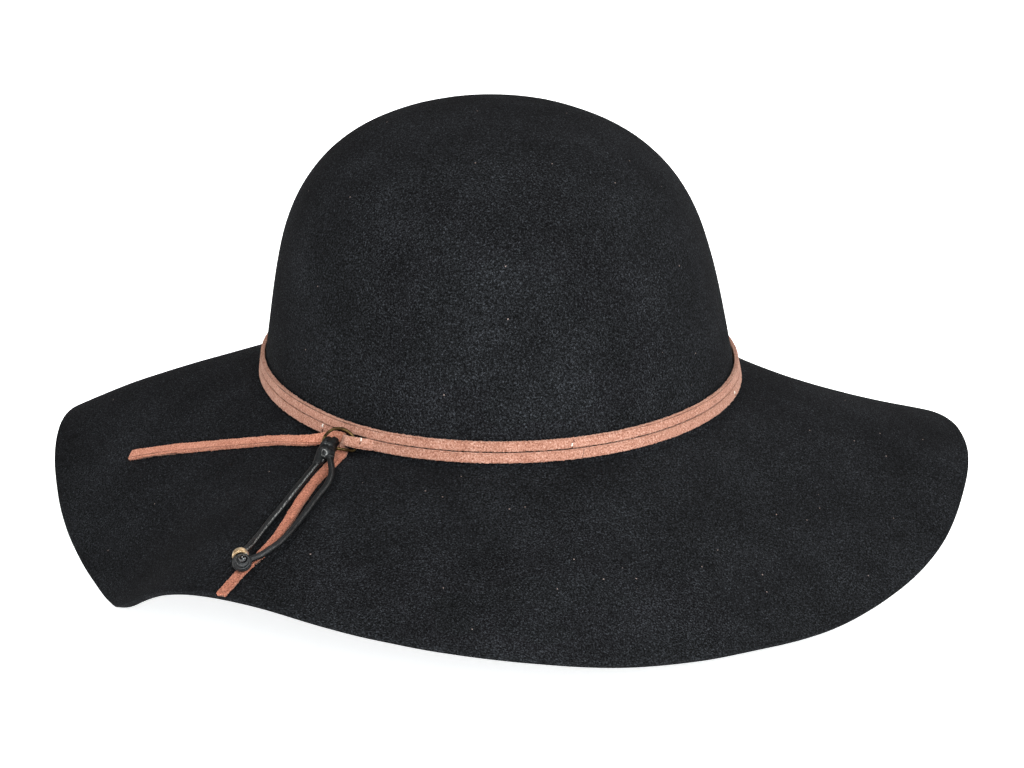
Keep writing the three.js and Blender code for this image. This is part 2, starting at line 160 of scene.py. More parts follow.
def finish_piece(piece, slot, material, *replaced):
    """Gives a piece its material and its place in the frame."""
    piece.data.materials.clear()
    piece.data.materials.append(material)
    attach(piece, "root")
    if replaced:
        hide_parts(*replaced)
    print(piece.name, len(piece.data.polygons), "faces")


# %% [markdown]
# ## Routes
# A lace or a cord is modelled straight, along X, the way it is cut. It is then laid on its route,
# as the real one is. The route is a smooth curve through a few points, and at each place on it the
# lace has a direction across its width and a direction out of its face. What was measured on the
# straight lace, such as how far a cut edge is, is kept in an attribute for its material.

# %% A smooth curve through points
def curve_point(points, t, closed=False):
    """A point of the centripetal curve through points, with t from 0 to 1."""
    count = len(points)
    spans = count if closed else count - 1
    place = min(max(t, 0), 1) * spans
    k = min(int(place), spans - 1)
    share = place - k
    start, end = points[k], points[(k + 1) % count]
    before = points[k - 1] if closed or k > 0 else 2 * start - end
    after = points[(k + 2) % count] if closed or k + 2 < count else 2 * end - start
    gap = (end - start).length ** 0.5
    gap_before = (start - before).length ** 0.5
    gap_after = (after - end).length ** 0.5
    leave = (start - before) / gap_before - (end - before) / (gap_before + gap)
    leave += (end - start) / gap
    reach = (end - start) / gap - (after - start) / (gap + gap_after)
    reach += (after - end) / gap_after
    leave, reach = leave * gap, reach * gap
    square = 3 * (end - start) - 2 * leave - reach
    cube = 2 * (start - end) + leave + reach
    return start + leave * share + square * share**2 + cube * share**3


# %% Routes as rows
def route(points, facing, steps, closed=False):
    """Rows of (way along, centre, across, face). facing gives a face's direction at t."""
    rows, way = [], 0.0
    for i in range(steps + 1):
        t = i / steps
        centre = curve_point(points, t, closed)
        step = 0.5 / steps
        along = curve_point(points, t + step, closed) - curve_point(points, t - step, closed)
        along.normalize()
        face = facing(t, along)
        face = (face - along * face.dot(along)).normalized()
        if rows:
            way += (centre - rows[-1][1]).length
        rows.append((way, centre, face.cross(along), face))
    return rows


def lay(piece, rows):
    """Lays a straight piece on a route: X goes along it, Y across it and Z out of its face."""
    mesh = piece.data
    straight = mesh.attributes.new("straight", "FLOAT_VECTOR", "POINT")
    k = 0
    for vertex in sorted(mesh.vertices, key=lambda v: v.co.x):
        x, y, z = vertex.co
        straight.data[vertex.index].vector = (x, y, z)
        while k < len(rows) - 2 and rows[k + 1][0] < x:
            k += 1
        here, there = rows[k], rows[k + 1]
        share = (x - here[0]) / (there[0] - here[0])
        centre, across, face = (a.lerp(b, share) for a, b in zip(here[1:], there[1:]))
        vertex.co = centre + across.normalized() * y + face.normalized() * z
    mesh.update()
    return piece


# %% [markdown]
# ## Straight laces and straight cords
# A lace is a strip cut from a suede hide. Its faces are flat and its cut edges are rough, so the
# strip starts as a box, is divided finely, and its edges are pushed in and out by small lumps. The
# cord is a thin strip of leather rolled round and waxed, which leaves a seam along it.

# %% A straight lace
LINE_MARGIN = 0.55 * MM  # from the cut edge to the line that the knife presses into the face
LINE_WIDTH = 0.24 * MM
LINE_DEPTH = 0.22 * MM


def divide(piece, axis, rounds):
    """Divides the edges that run along an axis, once for each number of cuts."""
    for cuts in rounds:
        def along(edge):
            way = edge.verts[1].co - edge.verts[0].co
            return abs(way[axis]) > 0.9 * way.length

        pick(piece, "EDGE", along)
        bpy.ops.mesh.subdivide(number_cuts=cuts)


def straight_lace(
    name, length, width, thickness, grain, end_cut=0.0, line_side=1, line_depth=LINE_DEPTH
):
    """A strip of suede along X from 0, with rough cut edges. end_cut slants its far end."""
    bpy.ops.mesh.primitive_cube_add(size=1, location=(length / 2, 0, 0))
    lace = bpy.context.object
    lace.name = name
    lace.scale = (length, width, thickness)
    apply_place(lace)
    bpy.ops.object.mode_set(mode="EDIT")
    cuts = round(math.sqrt(length / grain)) - 1
    divide(lace, 0, (cuts, cuts))
    divide(lace, 1, (5,))
    divide(lace, 2, (2,))
    line = line_side * (width / 2 - LINE_MARGIN)
    for shift in (-LINE_WIDTH, 0, LINE_WIDTH):
        bpy.ops.mesh.select_all(action="SELECT")
        bpy.ops.mesh.bisect(plane_co=(0, line + shift, 0), plane_no=(0, 1, 0))
    if end_cut:
        bpy.ops.mesh.select_all(action="SELECT")
        bpy.ops.mesh.bisect(
            plane_co=(length - abs(end_cut) / 2, 0, 0),
            plane_no=(width, -end_cut, 0),
            use_fill=True,
            clear_outer=True,
        )
    bpy.ops.object.mode_set(mode="OBJECT")
    for vertex in lace.data.vertices:
        if abs(vertex.co.y - line) < 0.1 * LINE_WIDTH and vertex.co.z > 0.49 * thickness:
            vertex.co.z -= line_depth
    apply_modifier(lace, "BEVEL", width=0.3 * MM, segments=2, limit_method="ANGLE")
    edges = lace.vertex_groups.new(name="cut_edges")
    for vertex in lace.data.vertices:
        margin = width / 2 - abs(vertex.co.y)
        weight = max(0.15, 1 - margin / (0.5 * MM))
        edges.add([vertex.index], weight, "REPLACE")
    apply_modifier(
        lace,
        "DISPLACE",
        texture=clouds(name + "_fibres", 0.5 * MM),
        texture_coords="LOCAL",
        strength=0.7 * MM,
        mid_level=0.5,
        vertex_group="cut_edges",
    )
    return lace


# %% A straight cord
def straight_cord(name, length, diameter, seam=0.12, sides=20, grain=0.7 * MM):
    """A round cord along X from 0, with a seam along its face. seam is a share of its radius."""
    bpy.ops.mesh.primitive_cylinder_add(
        vertices=sides,
        radius=diameter / 2,
        depth=length,
        location=(length / 2, 0, 0),
        rotation=(0, math.pi / 2, 0),
    )
    cord = bpy.context.object
    cord.name = name
    apply_place(cord)
    bpy.ops.object.mode_set(mode="EDIT")
    cuts = max(round(math.sqrt(length / grain)) - 1, 1)
    divide(cord, 0, (cuts, cuts))
    bpy.ops.object.mode_set(mode="OBJECT")
    for vertex in cord.data.vertices:
        turn = math.atan2(vertex.co.y, vertex.co.z)
        sink = 1 - seam * math.exp(-((turn / 0.35) ** 2))
        vertex.co.y *= sink
        vertex.co.z *= sink
    apply_modifier(cord, "BEVEL", width=0.15 * diameter, segments=3, limit_method="ANGLE")
    apply_modifier(
        cord,
        "DISPLACE",
        texture=clouds(name + "_leather", 1.3 * MM),
        texture_coords="LOCAL",
        strength=0.14 * MM,
        mid_level=0.5,
    )
    return cord


# %% [markdown]
# ## Materials
# Every finish is drawn by nodes. Hex colours are what the eye sees on a screen, so one function
# turns them into the linear values that light is reckoned in. A second small function adds a node,
# sets it and links it.

# %% Colours and nodes
def hex_colour(text):
    """A linear colour from an sRGB hex value."""
    parts = [int(text[i : i + 2], 16) / 255 for i in (0, 2, 4)]
    linear = [p / 12.92 if p <= 0.04045 else ((p + 0.055) / 1.055) ** 2.4 for p in parts]
    return (*linear, 1.0)


def add_node(material, kind, settings=None, **inputs):
    """Adds a node. An input is a value or another node's output socket."""
    tree = material.node_tree
    node = tree.nodes.new("ShaderNode" + kind)
    for setting, value in (settings or {}).items():
        setattr(node, setting, value)
    for label, value in inputs.items():
        socket = node.inputs[int(label[1:]) if label[1:].isdigit() else label.replace("_", " ")]
        if isinstance(value, bpy.types.NodeSocket):
            tree.links.new(value, socket)
        else:
            socket.default_value = value
    return node


def reckon(material, operation, *values):
    """A Math node on one or two values."""
    return add_node(
        material, "Math", {"operation": operation}, **{f"_{k}": v for k, v in enumerate(values)}
    )


def mix_colours(material, factor, under, over):
    """A Mix node that lays one colour over another, by a factor."""
    return add_node(material, "Mix", {"data_type": "RGBA"}, Factor=factor, _6=under, _7=over)


def noise(material, vector, size, detail, roughness=0.5):
    """A Noise texture with lumps of about a size in metres."""
    inputs = {"Vector": vector, "Scale": 1 / size, "Detail": detail, "Roughness": roughness}
    return add_node(material, "TexNoise", **inputs)


def new_material(name):
    material = bpy.data.materials.new(name)
    material.use_nodes = True
    return material, material.node_tree.nodes["Principled BSDF"]


def set_ramp(node, *stops):
    """Sets a colour ramp's stops from (place, hex colour) pairs."""
    elements = node.color_ramp.elements
    while len(elements) > 1:
        elements.remove(elements[-1])
    elements[0].position, elements[0].color = stops[0][0], hex_colour(stops[0][1])
    for place, colour in stops[1:]:
        elements.new(place).color = hex_colour(colour)
    return node


def finish_with(material, shader, sockets, **links):
    """Sets a shader's constants, then links what varies over the surface."""
    for label, value in sockets.items():
        shader.inputs[label].default_value = value
    for label, output in links.items():
        material.node_tree.links.new(output, shader.inputs[label.replace("_", " ")])
    return material


# %% [markdown]
# ### Black wool felt
# Felt is a mat of wool fibres, pressed while wet and steamed over a block. It takes light very
# softly, its nap glows a little where it is seen edge on, and stray fibres and lint show as faint
# specks. The fibres are about 0.02 mm thick, too fine to show, so their clumps are drawn at about
# 0.6 mm.

# %% Felt material
def wool_felt():
    material, shader = new_material("black_wool_felt")
    place = add_node(material, "TexCoord").outputs["Object"]
    clumps = noise(material, place, 0.6 * MM, 4.0, 0.7)
    patches = noise(material, place, 26 * MM, 3.0, 0.55)
    both = add_node(
        material,
        "Mix",
        {"data_type": "FLOAT"},
        Factor=0.12,
        A=clumps.outputs["Fac"],
        B=patches.outputs["Fac"],
    )
    wool = set_ramp(
        add_node(material, "ValToRGB", Fac=both.outputs["Result"]),
        (0.37, "060606"),
        (0.5, "141415"),
        (0.58, "232426"),
        (0.68, "3E4044"),
    )
    lint = add_node(material, "TexVoronoi", Vector=place, Scale=1 / (5.5 * MM), Randomness=1.0)
    near = reckon(material, "LESS_THAN", lint.outputs["Distance"], 0.05)
    chosen = add_node(material, "SeparateColor", Color=lint.outputs["Color"])
    some = reckon(material, "GREATER_THAN", chosen.outputs["Red"], 0.72)
    speck = reckon(material, "MULTIPLY", near.outputs[0], some.outputs[0])
    softer = reckon(material, "MULTIPLY", speck.outputs[0], 0.8)
    colour = mix_colours(material, softer.outputs[0], wool.outputs["Color"], hex_colour("85756F"))
    bump = add_node(
        material, "Bump", Height=clumps.outputs["Fac"], Strength=0.8, Distance=0.4 * MM
    )
    sockets = {
        "Roughness": 0.95,
        "Specular IOR Level": 0.02,
        "Sheen Weight": 0.004,
        "Sheen Roughness": 0.5,
        "Sheen Tint": hex_colour("D2D4D8"),
    }
    return finish_with(
        material, shader, sockets, Base_Color=colour.outputs[2], Normal=bump.outputs["Normal"]
    )


felt_finish = wool_felt()
print("Made", felt_finish.name)

# %% [markdown]
# ### Salmon suede
# Suede is the fibrous inner side of a hide, dyed right through. Its nap scatters light, fine pits
# and pale fibres break up its colour, and where the lace is cut its edge is paler and hairy. The
# knife also presses a thin groove along the corner of the face, and a dark line of painted shade
# follows it. The end that falls from the ring is painted in darker tones, as painted shade.

# %% Suede material
TONE_STOPS = (0.34, 0.45, 0.56, 0.68)


def suede(name, width, line_side, groove_shade_strength, tones, clear_centre=False, start_tones=None):
    """tones run from the pits to the fibre tips. clear_centre keeps the painted shade of the line
    faint at the front of the hat, and start_tones are those of the lace's first two centimetres, up
    to where it passes the ring; the darker tones past it are painted shade."""
    material, shader = new_material(name)
    place = add_node(material, "TexCoord").outputs["Object"]
    nap = noise(material, place, 0.55 * MM, 4.0, 0.7)
    broad = noise(material, place, 7 * MM, 2.0, 0.5)
    both = add_node(
        material,
        "Mix",
        {"data_type": "FLOAT"},
        Factor=0.12,
        A=nap.outputs["Fac"],
        B=broad.outputs["Fac"],
    )
    hide = set_ramp(
        add_node(material, "ValToRGB", Fac=both.outputs["Result"]), *zip(TONE_STOPS, tones)
    ).outputs["Color"]
    laid = add_node(material, "Attribute", {"attribute_name": "straight"}).outputs["Vector"]
    parts = add_node(material, "SeparateXYZ", Vector=laid)
    if start_tones:
        start = set_ramp(
            add_node(material, "ValToRGB", Fac=both.outputs["Result"]),
            *zip(TONE_STOPS, start_tones),
        )
        # Past the ring the lace changes to darker tones, which paint the shade of the ring and the
        # cord.
        shade_past_ring = add_node(
            material, "MapRange", Value=parts.outputs["X"], _1=14 * MM, _2=20 * MM, _3=0.0, _4=1.0
        )
        hide = mix_colours(material, shade_past_ring.outputs[0], start.outputs["Color"], hide).outputs[2]
    line = line_side * (width / 2 - LINE_MARGIN)
    wander = noise(material, laid, 14 * MM, 2.0, 0.5)
    offset = reckon(material, "SUBTRACT", parts.outputs["Y"], line)
    distance = reckon(material, "ABSOLUTE", offset.outputs[0])
    near_line = add_node(
        material,
        "MapRange",
        {"interpolation_type": "SMOOTHSTEP"},
        Value=distance.outputs[0],
        _1=0.3 * LINE_WIDTH,
        _2=1.3 * LINE_WIDTH,
        _3=1.0,
        _4=0.0,
    )
    on_face = reckon(material, "GREATER_THAN", parts.outputs["Z"], 0.2 * MM)
    breaks = add_node(
        material,
        "MapRange",
        Value=wander.outputs["Fac"],
        _1=0.38,
        _2=0.6,
        _3=groove_shade_strength,
        _4=0.5 * groove_shade_strength,
    )
    pressed = reckon(material, "MULTIPLY", near_line.outputs[0], on_face.outputs[0])
    faint = reckon(material, "MULTIPLY", pressed.outputs[0], breaks.outputs[0])
    if clear_centre:
        # The painted shade of the line is kept faint at the front of the hat and full at its sides.
        across_hat = add_node(material, "SeparateXYZ", Vector=place).outputs["X"]
        reach = reckon(material, "ABSOLUTE", across_hat)
        at_sides = add_node(
            material,
            "MapRange",
            Value=reach.outputs[0],
            _1=20 * MM,
            _2=62 * MM,
            _3=0.15,
            _4=1.0,
        )
        faint = reckon(material, "MULTIPLY", faint.outputs[0], at_sides.outputs[0])
    # The line's dark colour is painted shade, laid along the pressed groove.
    with_groove_shade = mix_colours(material, faint.outputs[0], hide, hex_colour("2E1710"))
    bump = add_node(
        material, "Bump", Height=nap.outputs["Fac"], Strength=0.6, Distance=0.25 * MM
    )
    sockets = {
        "Roughness": 0.9,
        "Specular IOR Level": 0.2,
        "Sheen Weight": 0.25,
        "Sheen Roughness": 0.5,
        "Sheen Tint": hex_colour("F4CDB8"),
    }
    return finish_with(
        material, shader, sockets, Base_Color=with_groove_shade.outputs[2], Normal=bump.outputs["Normal"]
    )


LACE_WIDTH = 3.7 * MM
TAIL_WIDTH = 4.0 * MM
TAIL_LINE_SIDE = 1  # the line lies along the lower edge of the lace ends
BAND_TONES = ("5A3224", "8B5C4A", "A57866", "C8A292")
LEFT_END_TONES = ("6A3221", "9E614A", "B87B65", "D8A189")
# The down end's tones are darker than the band's: painted shade, for the end that falls under the
# ring and the cord.
DOWN_END_SHADED_TONES = ("451F13", "844C39", "A56650", "CB8C74")
upper_suede = suede("salmon_suede_upper_lace", LACE_WIDTH, 1, 1.0, BAND_TONES, True)
lower_suede = suede("salmon_suede_lower_lace", LACE_WIDTH, 1, 0.2, BAND_TONES)
left_end_suede = suede("salmon_suede_left_end", TAIL_WIDTH, TAIL_LINE_SIDE, 0.7, LEFT_END_TONES)
down_end_shaded_suede = suede(
    "salmon_suede_down_end_painted_shade",
    TAIL_WIDTH,
    TAIL_LINE_SIDE,
    0.5,
    DOWN_END_SHADED_TONES,
    start_tones=BAND_TONES,
)
print("Made", ", ".join(m.name for m in (upper_suede, lower_suede, left_end_suede, down_end_shaded_suede)))

# %% [markdown]
# ### Waxed leather cord
# The cord is thin leather, rolled round, dyed black and rubbed with wax. Wax gives it a dull shine,
# and leaves pale dust in the grain and along the seam, more on one strand than on the other.

# %% Cord material
def waxed_leather(name, dust_colour):
    material, shader = new_material(name)
    place = add_node(material, "TexCoord").outputs["Object"]
    grain = noise(material, place, 0.45 * MM, 4.0, 0.7)
    leather = set_ramp(
        add_node(material, "ValToRGB", Fac=grain.outputs["Fac"]),
        (0.35, "040405"),
        (0.58, "0E0F10"),
        (0.74, "383A3B"),
    )
    laid = add_node(material, "Attribute", {"attribute_name": "straight"}).outputs["Vector"]
    parts = add_node(material, "SeparateXYZ", Vector=laid)
    side = reckon(material, "ABSOLUTE", parts.outputs["Y"])
    seam = add_node(
        material, "MapRange", Value=side.outputs[0], _1=0.08 * MM, _2=0.38 * MM, _3=1.0, _4=0.0
    )
    on_top = reckon(material, "GREATER_THAN", parts.outputs["Z"], 0.2 * MM)
    crumbs = noise(material, laid, 0.45 * MM, 3.0, 0.7)
    dust = add_node(
        material, "MapRange", Value=crumbs.outputs["Fac"], _1=0.45, _2=0.58, _3=0.0, _4=1.0
    )
    in_seam = reckon(material, "MULTIPLY", seam.outputs[0], on_top.outputs[0])
    dusty = reckon(material, "MULTIPLY", in_seam.outputs[0], dust.outputs[0])
    pale = hex_colour(dust_colour)
    colour = mix_colours(material, dusty.outputs[0], leather.outputs["Color"], pale)
    shine = add_node(
        material,
        "MapRange",
        Value=grain.outputs["Fac"],
        _1=0.3,
        _2=0.7,
        _3=0.38,
        _4=0.6,
    )
    bump = add_node(
        material, "Bump", Height=grain.outputs["Fac"], Strength=0.5, Distance=0.15 * MM
    )
    sockets = {"Specular IOR Level": 0.3}
    return finish_with(
        material,
        shader,
        sockets,
        Base_Color=colour.outputs[2],
        Roughness=shine.outputs[0],
        Normal=bump.outputs["Normal"],
    )


def sealed_end():
    """The cord's end is melted wax and dye, as glossy as a drop of lacquer."""
    material, shader = new_material("melted_black_wax")
    place = add_node(material, "TexCoord").outputs["Object"]
    ripple = noise(material, place, 1.2 * MM, 2.0)
    wax = set_ramp(
        add_node(material, "ValToRGB", Fac=ripple.outputs["Fac"]), (0.4, "020202"), (0.7, "08080A")
    )
    bump = add_node(
        material, "Bump", Height=ripple.outputs["Fac"], Strength=0.2, Distance=0.1 * MM
    )
    sockets = {"Roughness": 0.14, "Specular IOR Level": 0.7}
    return finish_with(
        material, shader, sockets, Base_Color=wax.outputs["Color"], Normal=bump.outputs["Normal"]
    )


cord_finish = waxed_leather("black_waxed_leather_cord", "83827F")
clean_finish = waxed_leather("black_waxed_leather_wiped", "3E3D3C")
wax_finish = sealed_end()
print("Made", cord_finish.name, "and", wax_finish.name)

# %% [markdown]
# ### Antique brass
# The ring and the bead are brass, darkened in a bath and then rubbed. The rubbed places are golden
# and the rest is olive brown.

# %% Brass material
def antique_brass(name, dark, middle, bright, gloss):
    material, shader = new_material(name)
    place = add_node(material, "TexCoord").outputs["Object"]
    tarnish = noise(material, place, 2.2 * MM, 4.0, 0.6)
    brass = set_ramp(
        add_node(material, "ValToRGB", Fac=tarnish.outputs["Fac"]),
        (0.36, dark),
        (0.52, middle),
        (0.68, bright),
    )
    dull = add_node(
        material,
        "MapRange",
        Value=tarnish.outputs["Fac"],
        _1=0.35,
        _2=0.7,
        _3=gloss + 0.16,
        _4=gloss,
    )
    bump = add_node(
        material, "Bump", Height=tarnish.outputs["Fac"], Strength=0.15, Distance=0.1 * MM
    )
    return finish_with(
        material,
        shader,
        {"Metallic": 1.0},
        Base_Color=brass.outputs["Color"],
        Roughness=dull.outputs[0],
        Normal=bump.outputs["Normal"],
    )


ring_brass = antique_brass("antique_brass_wire", "2E2417", "54432A", "7D6640", 0.36)
bead_brass = antique_brass("rubbed_antique_brass", "B8956C", "EED4AE", "FFF8EC", 0.36)
print("Made", ring_brass.name, "and", bead_brass.name)

# %% [markdown]
# ## The band
# Two laces lie one above the other round the foot of the crown. Where each lies is measured from
# its solid: its corners are gathered in rows of four round the crown, and each row gives the middle
# of the lace, the direction across it and the direction out of its face.

# %% Band routes
LACE_THICKNESS = 1.5 * MM


def band_rows(node):
    """Rows of (centre, across, face) round the crown, read from a solid lace."""
    corners = sorted({tuple(round(c, 6) for c in v.co) for v in nodes[node].data.vertices})
    corners = [Vector(c) for c in corners]
    middle = on_hat(0, 0, 0)
    around = lambda p: math.atan2(p.x - middle.x, -(p.y - middle.y)) % (2 * math.pi)
    corners.sort(key=around)
    pairs = zip(corners, corners[1:] + corners[:1])
    gaps = [(around(b) - around(a)) % (2 * math.pi) for a, b in pairs]
    start = (gaps.index(max(gaps)) + 1) % len(corners)
    corners = corners[start:] + corners[:start]
    rows = []
    for k in range(0, len(corners), 4):
        four = sorted(corners[k : k + 4], key=lambda p: p.z)
        low, high = four[:2], four[2:]
        far = lambda p: (p - middle).xy.length
        outer = sorted(low, key=far)[1] + sorted(high, key=far)[1]
        inner = sorted(low, key=far)[0] + sorted(high, key=far)[0]
        rows.append((sum(four, Vector()) / 4, high[0] + high[1] - low[0] - low[1], outer - inner))
    return rows


def band_route(name, rows, closed, steps):
    spans = len(rows) if closed else len(rows) - 1

    def facing(t, along):
        place = min(t * spans, spans - 1e-6)
        k = int(place)
        return rows[k][2].lerp(rows[(k + 1) % len(rows)][2], place - k)

    made = route([row[0] for row in rows], facing, steps, closed)
    print(name, len(rows), "rows,", round(made[-1][0] / MM), "mm")
    return made


upper_rows, lower_rows = band_rows("band_upper_lace"), band_rows("band_lower_lace")
upper_route = band_route("upper lace", upper_rows, True, 720)

# %% [markdown]
# The lower lace doesn't stop beside the ring: it runs on flat against the crown and is lost behind
# the lace end that comes out of the ring. So its route has two more rows, in the upper lace's own
# direction, and it is pared thinner there.

# %% The lower lace's hidden end
LACE_SPACING = 0.2 * MM
HIDDEN_END = 6 * MM
last = lower_rows[-1][0]
near = min(range(len(upper_rows)), key=lambda k: (upper_rows[k][0] - last).length)
before, after = upper_rows[near], upper_rows[(near + 1) % len(upper_rows)]
for share, sink in ((0.3, 0.22 * MM), (0.55, 0.36 * MM)):
    centre, across, face = (a.lerp(b, share) for a, b in zip(before, after))
    centre = centre - across.normalized() * (LACE_WIDTH + LACE_SPACING) - face.normalized() * sink
    lower_rows.append((centre, across, face))
lower_route = band_route("lower lace", lower_rows, False, 720)

# %% [markdown]
# ## The free ends of the laces
# Each lace ends in a tail. One lies out over the brim to the left, the other falls under the cord
# towards the front. Their routes are close to the solids' own, in millimetres from the crown's
# foot, and the last number of a point is how far the face is tipped from flat, in degrees.

# %% Tail routes
TAIL_LEFT = (
    (-54.3, -79.6, 3.2, 86),
    (-57.2, -77.1, 3.2, 86),
    (-60.6, -75.1, 2.2, 76),
    (-63.9, -73.9, 1.2, 56),
    (-67.2, -72.7, 0.4, 40),
    (-71.4, -70.3, -0.5, 30),
    (-77.7, -65.1, -2.2, 28),
    (-87.0, -58.2, -5.2, 31),
    (-96.4, -50.4, -8.7, 31),
    (-107.9, -40.5, -13.1, 32),
    (-117.5, -32.9, -16.6, 33),
    (-127.3, -25.6, -20.4, 33),
    (-134.7, -20.1, -23.5, 33),
)
TAIL_DOWN = (
    (-45.0, -87.0, 3.7, 86),
    (-47.6, -87.5, 4.2, 86),
    (-50.8, -87.7, 4.8, 84),
    (-53.6, -86.8, 5.1, 78),
    (-54.4, -84.7, 4.6, 66),
    (-54.7, -83.0, 2.6, 40),
    (-55.0, -82.9, 0.4, 14),
    (-55.6, -85.0, -0.7, 0),
    (-56.9, -87.6, -1.2, -1),
    (-58.5, -90.8, -2.1, -3),
    (-60.6, -94.9, -3.1, -3),
    (-63.8, -101.4, -4.8, -3),
    (-67.3, -109.5, -7.1, -3),
    (-71.5, -122.1, -10.5, -3),
    (-75.6, -133.4, -13.8, -4),
    (-81.0, -141.8, -17.0, -5),
    (-86.7, -148.9, -20.1, -5),
    (-90.6, -155.3, -22.7, -5),
    (-92.9, -159.2, -24.2, -5),
)
UP = Vector((0, 0, 1))


def tail_route(table, steps=400):
    def facing(t, along):
        place = t * (len(table) - 1)
        k = min(int(place), len(table) - 2)
        tip = math.radians(table[k][3] + (table[k + 1][3] - table[k][3]) * (place - k))
        side = along.cross(UP).normalized()
        if side.y > 0:
            side.negate()
        return UP * math.cos(tip) + side * math.sin(tip)

    return route([on_hat(*row[:3]) for row in table], facing, steps)


joint, _, joint_face = lower_rows[0]
joint_tip = math.degrees(math.acos(joint_face.normalized().z))
joint_row = (*(joint / MM - CROWN_FOOT), joint_tip)
left_route = tail_route(TAIL_LEFT)
down_route = tail_route((joint_row, *TAIL_DOWN))
print("Tails of", round(left_route[-1][0] / MM), "and", round(down_route[-1][0] / MM), "mm")

# %% [markdown]
# Each tail's far end is cut across, a little aslant, as scissors leave it.

# %% The two tails
TAIL_THICKNESS = 1.3 * MM
JOINT_LENGTH = 5 * MM  # over which the end still has the band's section
PINCH, PINCH_AT, PINCH_REACH = 0.14, 9 * MM, 4 * MM  # how the ring's bar squeezes the lace
NARROWING, NARROW_FROM, NARROW_OVER = 0.13, 26 * MM, 10 * MM  # how the lace tapers below it


def lace_tail(name, rows, end_cut, material, node):
    length = rows[-1][0]
    lace = straight_lace(
        name, length, TAIL_WIDTH, TAIL_THICKNESS, 0.45 * MM, end_cut, TAIL_LINE_SIDE
    )
    if rows is down_route:
        for vertex in lace.data.vertices:
            share = max(1 - vertex.co.x / JOINT_LENGTH, 0)
            vertex.co.y *= 1 + share * (LACE_WIDTH / TAIL_WIDTH - 1)
            vertex.co.z *= 1 + share * (LACE_THICKNESS / TAIL_THICKNESS - 1)
            vertex.co.y *= 1 - PINCH * math.exp(-(((vertex.co.x - PINCH_AT) / PINCH_REACH) ** 2))
            taper = min(max((vertex.co.x - NARROW_FROM) / NARROW_OVER, 0), 1)
            vertex.co.y *= 1 - NARROWING * taper
    lay(lace, rows)
    apply_modifier(
        lace,
        "DISPLACE",
        texture=clouds(name + "_dents", 4 * MM, 1),
        texture_coords="LOCAL",
        strength=0.25 * MM,
        mid_level=0.5,
    )
    smooth(lace, 60)
    finish_piece(lace, "suede", material, node)
    return lace


lace_tail("suede_lace_end_left", left_route, 2.2 * MM, left_end_suede, "lace_tail_left")
lace_tail("suede_lace_end_down", down_route, -2.4 * MM, down_end_shaded_suede, "lace_tail_down")

# %% [markdown]
# ## The cord
# One cord is doubled through the ring with a hitch, so two strands hang from it. They meet again at
# a small brass bead, and a knot under the bead keeps it on. The strands follow the solids' routes
# closely, up to the bead and the knot.

# %% Strand routes
STRAND_LEFT = (
    (-61.6, -91.3, -0.4),
    (-63.7, -94.1, -1.3),
    (-66.3, -99.6, -2.9),
    (-70.1, -108.0, -5.3),
    (-74.5, -115.8, -8.8),
    (-78.6, -123.8, -11.6),
    (-82.4, -133.9, -13.7),
    (-84.1, -140.0, -13.9),
    (-85.4, -143.6, -14.1),
    (-86.3, -145.8, -14.5),
)
STRAND_RIGHT = (
    (-59.2, -92.2, 1.2),
    (-58.4, -96.4, -0.1),
    (-58.1, -102.4, -1.9),
    (-59.6, -107.5, -4.0),
    (-61.8, -111.8, -5.6),
    (-64.4, -117.8, -7.4),
    (-67.1, -124.0, -9.3),
    (-69.7, -129.9, -10.9),
    (-71.6, -135.0, -11.7),
    (-73.9, -139.5, -12.7),
    (-77.3, -143.7, -13.9),
    (-80.0, -146.1, -14.9),
    (-81.9, -147.5, -15.3),
    (-84.0, -148.8, -15.7),
)
CORD_DIAMETER = 2.3 * MM


def strand_route(table, lean, steps=240):
    """lean is the way that the seam faces: to the front, and a little to the right."""
    return route([on_hat(*row) for row in table], lambda t, along: lean, steps)


SEAM_FACES = Vector((0.1, -0.95, 0.2))
strand_rows = [strand_route(table, SEAM_FACES) for table in (STRAND_LEFT, STRAND_RIGHT)]
print("Strands of", [round(rows[-1][0] / MM, 1) for rows in strand_rows], "mm")

# %% The two strands
for name, rows, node, material in (
    ("cord_strand_left", strand_rows[0], "cord_left", cord_finish),
    ("cord_strand_right", strand_rows[1], "cord_right", clean_finish),
):
    strand = straight_cord(name, rows[-1][0], CORD_DIAMETER)
    lay(strand, rows)
    smooth(strand, 50)
    finish_piece(strand, "waxed_cord", material, node)

# %% [markdown]
# ### The hitch
# The middle of the cord is passed behind the ring's bar, and both strands are drawn through it. Two
# shoulders go over the bar side by side, and the loop crosses in front of them as a collar and ends
# in a second, smaller turn. Each is a short length of the same cord, pressed thinner where it is
# drawn tight, over a copy of the solid that fills the middle.

# %% Hitch
HITCH_START = on_hat(-59.4, -83.2, 2.2)
HITCH_END = on_hat(-60.6, -91, 1.4)
TIGHT_CORD = 2.0 * MM
SHOULDER_CORD = 2.8 * MM  # pressed flat over the bar, and so wider

hitch_along = (HITCH_END - HITCH_START).normalized()
hitch_side = hitch_along.cross(UP).normalized() * -1
hitch_up = hitch_along.cross(hitch_side)
if hitch_up.z < 0:
    hitch_up.negate()


def in_hitch(along, side, up):
    """A place in the hitch, in millimetres from where it starts."""
    return HITCH_START + (hitch_along * along + hitch_side * side + hitch_up * up) * MM


def cord_length(name, points, closed, facing, diameter=TIGHT_CORD, seam=0.1):
    rows = route(points, facing, 120, closed)
    piece = straight_cord(name, rows[-1][0], diameter, seam, grain=0.4 * MM)
    lay(piece, rows)
    smooth(piece, 50)
    return piece


core = solid_copy("hitch_core", "cord_hitch")
apply_modifier(core, "SUBSURF", levels=2, render_levels=2)

